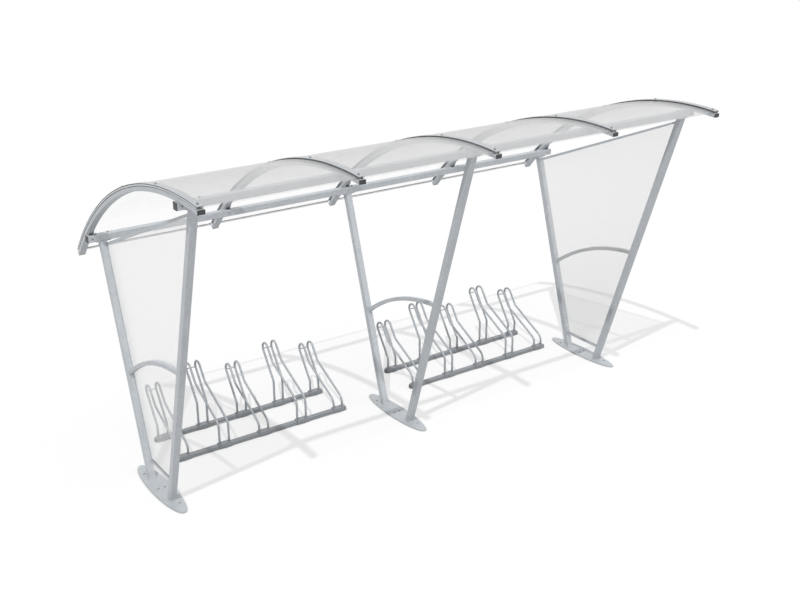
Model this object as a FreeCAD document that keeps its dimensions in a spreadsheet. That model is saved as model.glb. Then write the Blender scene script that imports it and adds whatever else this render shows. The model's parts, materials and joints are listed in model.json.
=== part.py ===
import FreeCAD, Part
import math
import os
import Sketcher
from FreeCAD import Vector, Placement, Rotation

# Open bicycle shelter: three V-shaped frames on oval base plates carry two long beams.
# Five bent ribs lie on the beams and hold the clear roof sheets.
# Two floor racks with bent-rod wheel holders stand between the frames.
# X runs along the shelter, the open front faces -Y, Z is up, and the ground is Z = 0.

doc = FreeCAD.newDocument("shelter")
sheet = doc.addObject("Spreadsheet::Sheet", "dims")

# Driving sizes in millimetres and degrees.
SIZES = [
    ("post_size", 50),
    ("post_wall", 3),
    ("post_corner", 4),
    ("post_spread", 180),
    ("post_lean_angle", 17.25),
    ("plate_length", 790),
    ("plate_width", 160),
    ("plate_thick", 8),
    ("anchor_dia", 18),
    ("anchor_x", 25),
    ("anchor_y", 262),
    ("head_length", 110),
    ("head_width", 50),
    ("head_thick", 5),
    ("head_bolt_x", 45),
    ("beam_size", 50),
    ("beam_wall", 3),
    ("beam_corner", 4),
    ("beam_overhang", 112),
    ("access_dia", 10),
    ("beam_length", 4434),
    ("front_top", 2446),
    ("rib_inset", 33),
    ("rib_width", 50),
    ("rib_height", 30),
    ("rib_wall", 2.5),
    ("rib_corner", 3),
    ("rib_play", 0.2),
    ("rear_gap", 3),
    ("rib_inner_radius", 2509),
    ("rib_centre_y", -954),
    ("roof_mid_angle", 68.04),
    ("rib_half_angle", 27.64),
    ("sheet_half_angle", 27.45),
    ("strip_half_angle", 27.5),
    ("bolt_step_angle", 13.3),
    ("layer_play", 0.1),
    ("gasket_thick", 4),
    ("gasket_width", 12),
    ("gasket_gap", 16),
    ("sheet_thick", 10),
    ("sheet_gap", 16),
    ("strip_thick", 3),
    ("trim_wall", 1.5),
    ("trim_depth", 12),
    ("trim_play", 0.05),
    ("bracket_width", 40),
    ("bracket_front", 20),
    ("bracket_rear", 18),
    ("bracket_wall", 4),
    ("bolt_dia", 8),
    ("bolt_hole", 9),
    ("bolt_head", 13),
    ("bolt_head_height", 5.3),
    ("flange_dia", 18),
    ("flange_thick", 2),
    ("flange_bolt_height", 8.1),
    ("nut_height", 6.5),
    ("nut_play", 0.05),
    ("bolt_end", 4),
    ("strip_bolt_end", 8),
    ("cut_over", 5),
    ("tie_size", 30),
    ("tie_wall", 3),
    ("tie_corner", 2),
    ("tie_radius", 1622),
    ("tie_centre_y", -609),
    ("tie_centre_z", -481),
    ("tie_sweep_angle", 44),
    ("panel_thick", 6),
    ("panel_inset", 18.5),
    ("panel_play", 0.4),
    ("channel_wall", 3),
    ("channel_height", 20),
    ("panel_low", 133),
    ("panel_rear_drop", 87.7),
    ("panel_front_drop", 108),
    ("plug_flange", 4),
    ("plug_insert", 16),
    ("plug_play", 0.4),
    ("rack_left_shift", 36.5),
    ("rack_right_shift", 68.5),
    ("rack_pitch", 350),
    ("rack_front_y", 307),
    ("rack_rear_y", 689),
    ("bar_width", 40),
    ("bar_height", 30),
    ("bar_wall", 2),
    ("bar_corner", 3),
    ("bar_overhang", 64),
    ("saddle_length", 105),
    ("saddle_depth", 30),
    ("saddle_wall", 5),
    ("saddle_play", 0.2),
    ("wheel_gap", 81.5),
    ("rod_dia", 18),
    ("bend_rear", 40),
    ("bend_kink", 60),
    ("bend_front", 75),
    ("loop_radius", 48),
    ("loop_lean_angle", 55.5),
    ("arm_slope_angle", 27),
    ("rear_leg", 85),
    ("front_leg", 29),
    ("loop_height", 355),
    ("high_step", 98),
    ("spacer_dia", 8),
    ("spacer_angle", 20),
    ("knee_angle", 35),
]

# Sizes that follow from the ones above.
DERIVED = [
    ("frame_pitch", "beam_length / 2 - beam_overhang"),
    ("rib_pitch", "(beam_length / 2 - rib_inset) / 2"),
    ("lean_run", "tan(post_lean_angle)"),
    ("post_half", "post_size / 2 / cos(post_lean_angle)"),
    ("bore_half", "(post_size / 2 - post_wall) / cos(post_lean_angle)"),
    ("front_bottom", "front_top - beam_size"),
    ("front_post_top", "front_top - beam_size - head_thick"),
    ("front_y", "-(post_spread + lean_run * front_post_top)"),
    ("rib_outer_radius", "rib_inner_radius + rib_height"),
    ("seat_run", "front_y + beam_size / 2 - beam_corner - rib_centre_y"),
    ("rib_centre_z", "front_top + rib_play - sqrt(rib_inner_radius ^ 2 - seat_run ^ 2)"),
    ("seat_radius", "rib_inner_radius - rear_gap"),
    ("rear_a", "post_spread - lean_run * (beam_size + head_thick) + beam_size / 2 - rib_centre_y"),
    ("rear_b", "rear_a * lean_run - rib_centre_z"),
    ("rear_c", "rear_a ^ 2 + rib_centre_z ^ 2 - seat_radius ^ 2"),
    ("rear_d", "1 + lean_run ^ 2"),
    ("rear_top", "(sqrt(rear_b ^ 2 - rear_d * rear_c) - rear_b) / rear_d"),
    ("rear_post_top", "rear_top - beam_size - head_thick"),
    ("rear_y", "post_spread + lean_run * rear_post_top"),
    ("lower_radius", "rib_outer_radius + layer_play"),
    ("sheet_radius", "lower_radius + gasket_thick + layer_play"),
    ("sheet_outer", "sheet_radius + sheet_thick"),
    ("upper_radius", "sheet_outer + layer_play"),
    ("strip_radius", "upper_radius + gasket_thick + layer_play"),
    ("bracket_radius", "rib_inner_radius - rib_play"),
    ("panel_front_height", "front_top - panel_front_drop"),
    ("panel_rear_height", "rear_top - panel_rear_drop"),
    ("rack_left_x", "-frame_pitch / 2 - rack_left_shift"),
    ("rack_right_x", "frame_pitch / 2 + rack_right_shift"),
    ("bar_length", "4 * rack_pitch + 2 * bar_overhang"),
    ("foot_height", "bar_height + saddle_wall"),
    ("saddle_half", "bar_width / 2 + saddle_play + saddle_wall"),
]

for row, (alias, value) in enumerate(SIZES, start=1):
    sheet.set("A%d" % row, alias)
    sheet.set("B%d" % row, str(value))
    sheet.setAlias("B%d" % row, alias)
for row, (alias, formula) in enumerate(DERIVED, start=len(SIZES) + 1):
    sheet.set("A%d" % row, alias)
    sheet.set("B%d" % row, "=" + formula)
    sheet.setAlias("B%d" % row, alias)
doc.recompute()

ALIASES = [name for name, _ in SIZES + DERIVED]


def live(formula):
    """Give every size name in a formula its sheet prefix."""
    out = ""
    word = ""
    for sign in formula + " ":
        if sign.isalnum() or sign == "_":
            word += sign
        else:
            out += "dims." + word if word in ALIASES else word
            out += sign
            word = ""
    return out.strip()


def value(formula):
    """Present value of a formula, to draw each sketch where it belongs."""
    found = sheet.evalExpression(live(formula))
    return float(getattr(found, "Value", found))


def bind(item, prop, formula):
    item.setExpression(prop, live(formula))


def place(item, x="0", y="0", z="0", turn=None):
    """Put an item at x, y, z, turned about the X direction by an angle."""
    if turn is not None:
        item.Placement = Placement(Vector(0, 0, 0), Rotation(Vector(1, 0, 0), value(turn)))
        bind(item, "Placement.Rotation.Angle", turn)
    bind(item, "Placement.Base.x", x)
    bind(item, "Placement.Base.y", y)
    bind(item, "Placement.Base.z", z)


def body(label):
    made = doc.addObject("PartDesign::Body", label)
    made.Label = label
    return made


def sketch(owner, name, role):
    """Empty sketch on one of the body's own origin planes."""
    made = owner.newObject("Sketcher::SketchObject", name)
    plane = [f for f in owner.Origin.OriginFeatures if f.Role == role][0]
    made.AttachmentSupport = [(plane, "")]
    made.MapMode = "FlatFace"
    return made


def axis_of(owner, role):
    return [f for f in owner.Origin.OriginFeatures if f.Role == role][0]


def pin_point(target, index, end, name, x, y):
    """Hold one sketch point by its two distances from the sketch origin."""
    for kind, letter, formula, axis in (("DistanceX", "x", x, -2), ("DistanceY", "y", y, -1)):
        if formula == "0":
            target.addConstraint(Sketcher.Constraint("PointOnObject", index, end, axis))
        else:
            hold(target, kind, (-1, 1, index, end), name + "_" + letter, formula)


def hold(target, kind, items, name, formula):
    """Add one named sketch dimension that follows a formula."""
    number = target.addConstraint(Sketcher.Constraint(kind, *items, value(formula)))
    target.renameConstraint(number, name)
    bind(target, "Constraints." + name, formula)


def polygon(target, name, points):
    """Closed outline whose corners are all held by formulas."""
    first = target.GeometryCount
    count = len(points)
    spots = [Vector(value(x), value(y), 0) for x, y in points]
    for i in range(count):
        target.addGeometry(Part.LineSegment(spots[i], spots[(i + 1) % count]), False)
    for i in range(count):
        target.addConstraint(Sketcher.Constraint("Coincident", first + i, 2, first + (i + 1) % count, 1))
    for i, (x, y) in enumerate(points):
        pin_point(target, first + i, 1, "%s%d" % (name, i), x, y)


def box_outline(target, name, x0, x1, y0, y1):
    polygon(target, name, [(x0, y0), (x1, y0), (x1, y1), (x0, y1)])


def circle(target, name, x, y, diameter):
    radius = value(diameter) / 2
    index = target.addGeometry(Part.Circle(Vector(value(x), value(y), 0), Vector(0, 0, 1), radius))
    hold(target, "Diameter", (index,), name + "_dia", diameter)
    pin_point(target, index, 3, name, x, y)


def pad(owner, name, profile, length, middle=True):
    made = owner.newObject("PartDesign::Pad", name)
    made.Profile = profile
    made.Midplane = middle
    bind(made, "Length", length)
    profile.Visibility = False
    owner.Tip = made
    doc.recompute()
    return made


def pocket(owner, name, profile, length, middle=True):
    made = owner.newObject("PartDesign::Pocket", name)
    made.Profile = profile
    made.Midplane = middle
    bind(made, "Length", length)
    profile.Visibility = False
    owner.Tip = made
    doc.recompute()
    return made


def soften(owner, name, feature, axis, size, radius):
    """Round the long outer edges of a tube, found by their distance from the tube's middle plane."""
    half = value(size) / 2
    names = []
    for number, edge in enumerate(feature.Shape.Edges, start=1):
        ends = [getattr(corner.Point, axis) for corner in edge.Vertexes]
        if edge.Length > 4 * half and all(abs(abs(end) - half) < 0.001 for end in ends):
            names.append("Edge%d" % number)
    made = owner.newObject("PartDesign::Fillet", name)
    made.Base = (feature, names)
    bind(made, "Radius", radius)
    owner.Tip = made
    doc.recompute()
    return made


def copies(label, entries):
    """One node made of separate solids: placed copies of template solids."""
    links = []
    for number, (source, where) in enumerate(entries):
        link = doc.addObject("App::Link", "%s_%d" % (label, number))
        link.LinkedObject = source
        place(link, **where)
        links.append(link)
    made = doc.addObject("Part::Compound", label)
    made.Label = label
    made.Links = links
    return made


NODES = []


def node(made):
    NODES.append(made)
    return made


SIDES = (("left", -1), ("middle", 0), ("right", 1))


def frame_x(side):
    return "%d * frame_pitch" % side


def rib_x(number):
    return "%d * rib_pitch" % (number - 3)


# Oval base plates, each with four anchor holes set on a skewed line.
ANCHORS = (("-anchor_x", "anchor_y"), ("-anchor_x", "0"), ("anchor_x", "0"), ("anchor_x", "-anchor_y"))
for side_name, side in SIDES:
    oval = doc.addObject("Part::Ellipse", "oval_" + side_name)
    bind(oval, "MajorRadius", "plate_length / 2")
    bind(oval, "MinorRadius", "plate_width / 2")
    oval.Placement = Placement(Vector(0, 0, 0), Rotation(Vector(0, 0, 1), 90))
    slab = doc.addObject("Part::Extrusion", "slab_" + side_name)
    slab.Base = oval
    slab.DirMode = "Normal"
    slab.Solid = True
    bind(slab, "LengthFwd", "plate_thick")
    drills = []
    for number, (x, y) in enumerate(ANCHORS):
        drill = doc.addObject("Part::Cylinder", "anchor_%s_%d" % (side_name, number))
        bind(drill, "Radius", "anchor_dia / 2")
        bind(drill, "Height", "plate_thick + 2 * cut_over")
        place(drill, x, y, "-cut_over")
        drills.append(drill)
    holes = doc.addObject("Part::MultiFuse", "anchors_" + side_name)
    holes.Shapes = drills
    plate = node(doc.addObject("Part::Cut", "base_plate_" + side_name))
    plate.Base = slab
    plate.Tool = holes
    place(plate, frame_x(side))


# Leaning hollow posts, cut level at the base plate and under the head plate.
def post(label, side, way, top):
    made = body(label)
    outer = sketch(made, label + "_outer", "YZ_Plane")
    low, high = "plate_thick", top

    def edge(height, half):
        return "%d * (post_spread + lean_run * (%s) + %s)" % (way, height, half)

    polygon(outer, "p", [(edge(low, "post_half"), low), (edge(low, "-post_half"), low),
                         (edge(high, "-post_half"), high), (edge(high, "post_half"), high)])
    tube = pad(made, label + "_tube", outer, "post_size")
    soften(made, label + "_corners", tube, "x", "post_size", "post_corner")
    inner = sketch(made, label + "_inner", "YZ_Plane")
    low, high = "plate_thick - cut_over", top + " + cut_over"
    polygon(inner, "p", [(edge(low, "bore_half"), low), (edge(low, "-bore_half"), low),
                         (edge(high, "-bore_half"), high), (edge(high, "bore_half"), high)])
    pocket(made, label + "_bore", inner, "post_size - 2 * post_wall")
    place(made, frame_x(side))
    return node(made)


for side_name, side in SIDES:
    post("post_front_" + side_name, side, -1, "front_post_top")
    post("post_rear_" + side_name, side, 1, "rear_post_top")


# Arched tie tube between the two posts of a frame, mitred to their inner faces.
def tie(label, side):
    made = body(label)
    ring = sketch(made, label + "_section", "XZ_Plane")
    half = "tie_size / 2"
    box_outline(ring, "o", "-" + half, half, "tie_radius - " + half, "tie_radius + " + half)
    half = "(tie_size / 2 - tie_wall)"
    box_outline(ring, "i", "-" + half, half, "tie_radius - " + half, "tie_radius + " + half)
    bend = made.newObject("PartDesign::Revolution", label + "_bend")
    bend.Profile = ring
    bend.ReferenceAxis = (axis_of(made, "X_Axis"), [""])
    bend.Reversed = True
    bind(bend, "Angle", "tie_sweep_angle")
    ring.Visibility = False
    made.Tip = bend
    doc.recompute()
    soften(made, label + "_corners", bend, "x", "tie_size", "tie_corner")
    for way, end in ((-1, "front"), (1, "rear")):
        cut = sketch(made, label + "_mitre_" + end, "YZ_Plane")

        def edge(height, extra):
            reach = "post_spread + lean_run * (%s) - post_half + %s" % (height, extra)
            return "%d * (%s) - tie_centre_y" % (way, reach)

        low, high = "plate_thick", "rear_post_top"
        polygon(cut, "p", [(edge(low, "0"), low + " - tie_centre_z"),
                           (edge(high, "0"), high + " - tie_centre_z"),
                           (edge(high, "tie_radius"), high + " - tie_centre_z"),
                           (edge(low, "tie_radius"), low + " - tie_centre_z")])
        pocket(made, label + "_cut_" + end, cut, "tie_size * 2")
    place(made, frame_x(side), "tie_centre_y", "tie_centre_z")
    return node(made)


for side_name, side in SIDES:
    tie("tie_arch_" + side_name, side)


# Head plates welded on the post tops, drilled for the beam bolts.
head = body("head_plate")
head_outline = sketch(head, "head_outline", "XY_Plane")
box_outline(head_outline, "o", "-head_length / 2", "head_length / 2", "-head_width / 2", "head_width / 2")
circle(head_outline, "a", "-head_bolt_x", "0", "bolt_hole")
circle(head_outline, "b", "head_bolt_x", "0", "bolt_hole")
pad(head, "head_pad", head_outline, "head_thick", False)
POST_TOPS = (("front_y", "front_post_top"), ("rear_y", "rear_post_top"))
node(copies("head_plates", [(head, dict(x=frame_x(side), y=y, z=z))
                            for y, z in POST_TOPS for _, side in SIDES]))


# Square beam tubes along the whole shelter, drilled over each post and in front under each rib.
def beam(label, y, bottom):
    made = body(label)
    section = sketch(made, label + "_section", "YZ_Plane")
    box_outline(section, "o", "-beam_size / 2", "beam_size / 2", "0", "beam_size")
    half = "(beam_size / 2 - beam_wall)"
    box_outline(section, "i", "-" + half, half, "beam_wall", "beam_size - beam_wall")
    tube = pad(made, label + "_tube", section, "beam_length")
    soften(made, label + "_corners", tube, "y", "beam_size", "beam_corner")
    drill = sketch(made, label + "_drill", "XY_Plane")
    for number, side in enumerate((-1, 0, 1)):
        for letter, way in (("a", "-"), ("b", "+")):
            spot = "%s %s head_bolt_x" % (frame_x(side), way)
            circle(drill, "%s%d" % (letter, number), spot, "0", "bolt_hole")
    pocket(made, label + "_holes", drill, "beam_size * 3")
    access = sketch(made, label + "_access", "XZ_Plane")
    for number in range(1, 6):
        circle(access, "r%d" % number, rib_x(number), "beam_size / 2", "access_dia")
    opened = pocket(made, label + "_open", access, "beam_size / 2 + cut_over", False)
    opened.Reversed = True
    doc.recompute()
    place(made, "0", y, bottom)
    return node(made)


beam("beam_front", "front_y", "front_bottom")
beam("beam_rear", "rear_y", "rear_top - beam_size")


# Hexagon bolts and nuts that clamp the beams to the head plates.
def hexagon(name, across, height):
    made = doc.addObject("Part::Prism", name)
    made.Polygon = 6
    bind(made, "Circumradius", across + " / 2 / cos(30)")
    bind(made, "Height", height)
    return made


bolt_head = hexagon("bolt_head_hex", "bolt_head", "bolt_head_height")
place(bolt_head, "0", "0", "-bolt_head_height")
bolt_shank = doc.addObject("Part::Cylinder", "bolt_shank")
bind(bolt_shank, "Radius", "bolt_dia / 2")
bind(bolt_shank, "Height", "head_thick + beam_size + nut_height + bolt_end")
place(bolt_shank)
beam_bolt = doc.addObject("Part::Fuse", "beam_bolt")
beam_bolt.Base = bolt_head
beam_bolt.Tool = bolt_shank
nut_hex = hexagon("nut_hex", "bolt_head", "nut_height")
nut_bore = doc.addObject("Part::Cylinder", "nut_bore")
bind(nut_bore, "Radius", "bolt_dia / 2 + nut_play")
bind(nut_bore, "Height", "nut_height")
place(nut_bore)
nut = doc.addObject("Part::Cut", "beam_nut")
nut.Base = nut_hex
nut.Tool = nut_bore
entries = []
for y, z in POST_TOPS:
    for _, side in SIDES:
        for way in ("-", "+"):
            spot = "%s %s head_bolt_x" % (frame_x(side), way)
            entries.append((beam_bolt, dict(x=spot, y=y, z=z)))
            entries.append((nut, dict(x=spot, y=y, z=z + " + head_thick + beam_size")))
node(copies("beam_bolts", entries))


# Parts that follow the roof arc are drawn about the arc's axis, with their middle upright.
def arc_body(label, sections, half_angle, x, drills=(), drill_from="0", drill_to="0", drill_dia="bolt_hole",
             corner=None):
    """Turn flat sections about the roof axis and drill them on the bolt lines."""
    made = body(label)
    ring = sketch(made, label + "_section", "XZ_Plane")
    for number, (x0, x1, r0, r1) in enumerate(sections):
        box_outline(ring, "s%d" % number, x0, x1, r0, r1)
    bend = made.newObject("PartDesign::Revolution", label + "_bend")
    bend.Profile = ring
    bend.ReferenceAxis = (axis_of(made, "X_Axis"), [""])
    bend.Midplane = True
    bind(bend, "Angle", "2 * (%s)" % half_angle)
    ring.Visibility = False
    made.Tip = bend
    doc.recompute()
    if corner:
        soften(made, label + "_corners", bend, "x", "rib_width", corner)
    if drills:
        spot = sketch(made, label + "_spot", "XY_Plane")
        spot.AttachmentOffset = Placement(Vector(0, 0, value(drill_to)), Rotation())
        bind(spot, "AttachmentOffset.Base.z", drill_to)
        for number, centre in enumerate(drills):
            circle(spot, "c%d" % number, centre, "0", drill_dia)
        hole = pocket(made, label + "_hole", spot, "(%s) - (%s)" % (drill_to, drill_from), False)
        for way in (False, True):
            row = made.newObject("PartDesign::PolarPattern", label + ("_row_b" if way else "_row_a"))
            row.Originals = [hole]
            row.Axis = (axis_of(made, "X_Axis"), [""])
            row.Reversed = way
            row.Occurrences = 3
            bind(row, "Angle", "2 * bolt_step_angle")
            made.Tip = row
            doc.recompute()
    place(made, x, "rib_centre_y", "rib_centre_z", "roof_mid_angle - 90")
    return made


# Bent rib tubes with bolt holes in the upper wall only.
for number in range(1, 6):
    wide = "rib_width / 2"
    bore = "(rib_width / 2 - rib_wall)"
    node(arc_body("rib_%d" % number,
                  [("-" + wide, wide, "rib_inner_radius", "rib_outer_radius"),
                   ("-" + bore, bore, "rib_inner_radius + rib_wall", "rib_outer_radius - rib_wall")],
                  "rib_half_angle", rib_x(number), ["0"], "rib_outer_radius - rib_wall - cut_over",
                  "rib_outer_radius + cut_over", corner="rib_corner"))

# Clear roof sheets; the outer two run over the end ribs and are drilled there.
for number in range(1, 5):
    first = "%d * rib_pitch + sheet_gap / 2" % (number - 3)
    last = "%d * rib_pitch - sheet_gap / 2" % (number - 2)
    drills = []
    if number == 1:
        first = "-2 * rib_pitch - rib_width / 2"
        drills = ["-2 * rib_pitch"]
    if number == 4:
        last = "2 * rib_pitch + rib_width / 2"
        drills = ["2 * rib_pitch"]
    node(arc_body("roof_sheet_%d" % number, [(first, last, "sheet_radius", "sheet_outer")],
                  "sheet_half_angle", "0", drills, "sheet_radius - cut_over", "sheet_outer + cut_over",
                  "bolt_hole + 1"))

# Rubber gasket strips under and over the sheets, one pair on each side of the bolt line.
inner, outer = "gasket_gap / 2", "gasket_gap / 2 + gasket_width"
lower_strip = arc_body("gasket_lower", [(inner, outer, "lower_radius", "lower_radius + gasket_thick")],
                       "sheet_half_angle", "0")
upper_strip = arc_body("gasket_upper", [(inner, outer, "upper_radius", "upper_radius + gasket_thick")],
                       "sheet_half_angle", "0")
ARC = dict(y="rib_centre_y", z="rib_centre_z", turn="roof_mid_angle - 90")
for label, source in (("gaskets_lower", lower_strip), ("gaskets_upper", upper_strip)):
    entries = []
    for number in range(1, 6):
        entries.append((source, dict(x=rib_x(number), **ARC)))
        entries.append((source, dict(x=rib_x(number) + " - gasket_gap - gasket_width", **ARC)))
    node(copies(label, entries))

# Flat metal cover strips that press the sheets onto the ribs.
for number in range(1, 6):
    flat = ("-rib_width / 2", "rib_width / 2", "strip_radius", "strip_radius + strip_thick")
    node(arc_body("cover_strip_%d" % number, [flat], "strip_half_angle", rib_x(number), ["0"],
                  "strip_radius - cut_over", "strip_radius + strip_thick + cut_over"))

# Flange-headed strip bolts, standing on the cover strips along each rib.
strip_head = hexagon("strip_head", "bolt_head", "flange_bolt_height")
place(strip_head, "0", "0", "strip_radius + strip_thick")
strip_flange = doc.addObject("Part::Cylinder", "strip_flange")
bind(strip_flange, "Radius", "flange_dia / 2")
bind(strip_flange, "Height", "flange_thick")
place(strip_flange, "0", "0", "strip_radius + strip_thick")
strip_shank = doc.addObject("Part::Cylinder", "strip_shank")
bind(strip_shank, "Radius", "bolt_dia / 2")
bind(strip_shank, "Height", "strip_radius + strip_thick - rib_outer_radius + rib_wall + strip_bolt_end")
place(strip_shank, "0", "0", "rib_outer_radius - rib_wall - strip_bolt_end")
strip_bolt = doc.addObject("Part::MultiFuse", "strip_bolt")
strip_bolt.Shapes = [strip_head, strip_flange, strip_shank]
entries = []
for number in range(1, 6):
    for step in range(-2, 3):
        entries.append((strip_bolt, dict(x=rib_x(number), y="rib_centre_y", z="rib_centre_z",
                                         turn="roof_mid_angle - 90 + %d * bolt_step_angle" % step)))
node(copies("strip_bolts", entries))

# Thin U-shaped trims on the lower edge of the sheets, between the ribs.
trim = body("edge_trim")
trim_outline = sketch(trim, "trim_outline", "YZ_Plane")
inside, outside = "sheet_radius - trim_play", "sheet_outer + trim_play"
polygon(trim_outline, "p", [
    ("trim_wall", inside + " - trim_wall"), ("trim_wall", outside + " + trim_wall"),
    ("-trim_depth", outside + " + trim_wall"), ("-trim_depth", outside),
    ("0", outside), ("0", inside), ("-trim_depth", inside), ("-trim_depth", inside + " - trim_wall")])
pad(trim, "trim_pad", trim_outline, "rib_pitch - rib_width - 4")
node(copies("edge_trims", [(trim, dict(x="%s * rib_pitch" % half, y="rib_centre_y", z="rib_centre_z",
                                       turn="roof_mid_angle - 90 - sheet_half_angle"))
                           for half in ("-1.5", "-0.5", "0.5", "1.5")]))

# Folded brackets that seat the ribs on the rear beam.
bracket = body("rib_bracket")
seat = sketch(bracket, "bracket_outline", "YZ_Plane")
near = "rear_y - bracket_front"
far = "rear_y + bracket_rear"


def on_rib(y):
    return "rib_centre_z + sqrt(bracket_radius ^ 2 - (%s - rib_centre_y) ^ 2)" % y


polygon(seat, "p", [(near, "rear_top"), (far, "rear_top"), (far, on_rib(far)), (near, on_rib(near))])
pad(bracket, "bracket_pad", seat, "bracket_width")
fold = sketch(bracket, "bracket_fold", "YZ_Plane")
polygon(fold, "p", [(near + " - cut_over", "rear_top + bracket_wall"),
                    (far + " - bracket_wall * 4", "rear_top + bracket_wall"),
                    (near + " - cut_over", on_rib(near) + " - bracket_wall * 1.4")])
pocket(bracket, "bracket_open", fold, "bracket_width * 2")
node(copies("rib_brackets", [(bracket, dict(x=rib_x(number))) for number in range(1, 6)]))


# Black end plugs: a flange that covers the tube end and a shank inside the tube.
def plug(name, x_size, y_size, insert_x, insert_y):
    """Plug about the X direction: flange from X = 0 outwards to -X, shank inwards."""
    made = body(name)
    face = sketch(made, name + "_face", "YZ_Plane")
    box_outline(face, "o", "-(%s) / 2" % x_size, "(%s) / 2" % x_size, "0", y_size)
    cap = pad(made, name + "_flange", face, "plug_flange", False)
    cap.Reversed = True
    stem = sketch(made, name + "_stem", "YZ_Plane")
    box_outline(stem, "o", "-(%s) / 2" % insert_x, "(%s) / 2" % insert_x,
                "(%s - (%s)) / 2" % (y_size, insert_y), "(%s + (%s)) / 2" % (y_size, insert_y))
    pad(made, name + "_shank", stem, "plug_insert", False)
    return made


beam_bore = "beam_size - 2 * beam_wall - plug_play"
beam_plug = plug("beam_plug", "beam_size", "beam_size", beam_bore, beam_bore)
bar_cap = plug("bar_cap", "bar_width", "bar_height", "bar_width - 2 * bar_wall - plug_play",
               "bar_height - 2 * bar_wall - plug_play")


def both_ends(label, source, spots):
    """Plugs in both ends of tubes that lie along X: (centre, length, y, z) for each tube."""
    links = []
    for number, (centre, length, y, z) in enumerate(spots):
        for way, turn in (("-", 0), ("+", 180)):
            link = doc.addObject("App::Link", "%s_%d%s" % (label, number, "a" if turn else "b"))
            link.LinkedObject = source
            link.Placement = Placement(Vector(0, 0, 0), Rotation(Vector(0, 0, 1), turn))
            place(link, "%s %s (%s) / 2" % (centre, way, length), y, z)
            links.append(link)
    made = doc.addObject("Part::Compound", label)
    made.Label = label
    made.Links = links
    return made


node(both_ends("beam_plugs", beam_plug, [("0", "beam_length", "front_y", "front_bottom"),
                                         ("0", "beam_length", "rear_y", "rear_top - beam_size")]))

# Rib plugs are drawn about the roof axis, the shank reaching back into the rib.
entries = []
for end, way in (("front", 1), ("rear", -1)):
    made = body("rib_plug_" + end)
    face = sketch(made, "rib_face_" + end, "XZ_Plane")
    box_outline(face, "o", "-rib_width / 2", "rib_width / 2", "rib_inner_radius", "rib_outer_radius")
    flange = pad(made, "rib_flange_" + end, face, "plug_flange", False)
    flange.Reversed = way < 0
    stem = sketch(made, "rib_stem_" + end, "XZ_Plane")
    half = "(rib_width / 2 - rib_wall - plug_play / 2)"
    box_outline(stem, "o", "-" + half, half, "rib_inner_radius + rib_wall + plug_play / 2",
                "rib_outer_radius - rib_wall - plug_play / 2")
    shank = pad(made, "rib_shank_" + end, stem, "plug_insert", False)
    shank.Reversed = way > 0
    for number in range(1, 6):
        entries.append((made, dict(x=rib_x(number), y="rib_centre_y", z="rib_centre_z",
                                   turn="roof_mid_angle - 90 + %d * rib_half_angle" % way)))
node(copies("rib_plugs", entries))


# Side panels in the end frames, standing in an upper and a lower channel between the posts.
def on_post(way, height):
    return "%d * (post_spread - post_half + lean_run * (%s))" % (way, height)


def between_posts(target, name, low, high, reach="0"):
    """Outline from post to post; low and high are lines given by (front height, rear height)."""
    points = []
    for way, (front, rear) in ((-1, low), (1, low), (1, high), (-1, high)):
        height = front if way < 0 else rear
        span = "(2 * (post_spread - post_half) + lean_run * (%s + %s))" % (front, rear)
        rise = "%d * (%s) * ((%s) - (%s)) / %s" % (-way, reach, front, rear, span)
        points.append(("%s + %d * (%s)" % (on_post(way, height), way, reach), "%s + %s" % (height, rise)))
    polygon(target, name, points)


def lifted(line, lift):
    return tuple("%s + %s" % (height, lift) for height in line)


def channel(label, x, line, slot_low, slot_high):
    made = body(label)
    outline = sketch(made, label + "_outline", "YZ_Plane")
    between_posts(outline, "o", line, lifted(line, "channel_height"))
    pad(made, label + "_bar", outline, "panel_thick + panel_play + 2 * channel_wall")
    slot = sketch(made, label + "_slot", "YZ_Plane")
    between_posts(slot, "i", lifted(line, slot_low), lifted(line, slot_high), "4 * cut_over")
    pocket(made, label + "_groove", slot, "panel_thick + panel_play")
    place(made, x)
    return node(made)


LOW_LINE = ("panel_low", "panel_low")
TOP_LINE = ("panel_front_height", "panel_rear_height")
for side_name, way in (("left", -1), ("right", 1)):
    x = "%d * (frame_pitch - panel_inset)" % way
    web = "channel_height - channel_wall"
    channel("panel_channel_top_" + side_name, x, TOP_LINE, "-cut_over", web)
    channel("panel_channel_low_" + side_name, x, LOW_LINE, "channel_wall", "channel_height + cut_over")
    panel = body("side_panel_" + side_name)
    outline = sketch(panel, "panel_outline_" + side_name, "YZ_Plane")
    between_posts(outline, "o", lifted(LOW_LINE, "channel_wall"), lifted(TOP_LINE, web))
    pad(panel, "panel_pad_" + side_name, outline, "panel_thick")
    place(panel, x)
    node(panel)


# Floor bars of the racks, drilled from front to rear at each wheel holder.
def bar(label, x, y):
    made = body(label)
    section = sketch(made, label + "_section", "YZ_Plane")
    box_outline(section, "o", "-bar_width / 2", "bar_width / 2", "0", "bar_height")
    half = "(bar_width / 2 - bar_wall)"
    box_outline(section, "i", "-" + half, half, "bar_wall", "bar_height - bar_wall")
    tube = pad(made, label + "_tube", section, "bar_length")
    soften(made, label + "_corners", tube, "y", "bar_width", "bar_corner")
    drill = sketch(made, label + "_drill", "XZ_Plane")
    for number in range(5):
        circle(drill, "h%d" % number, "%d * rack_pitch" % (number - 2), "bar_height / 2", "bolt_hole")
    pocket(made, label + "_holes", drill, "bar_width * 2")
    place(made, x, y)
    return node(made)


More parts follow.
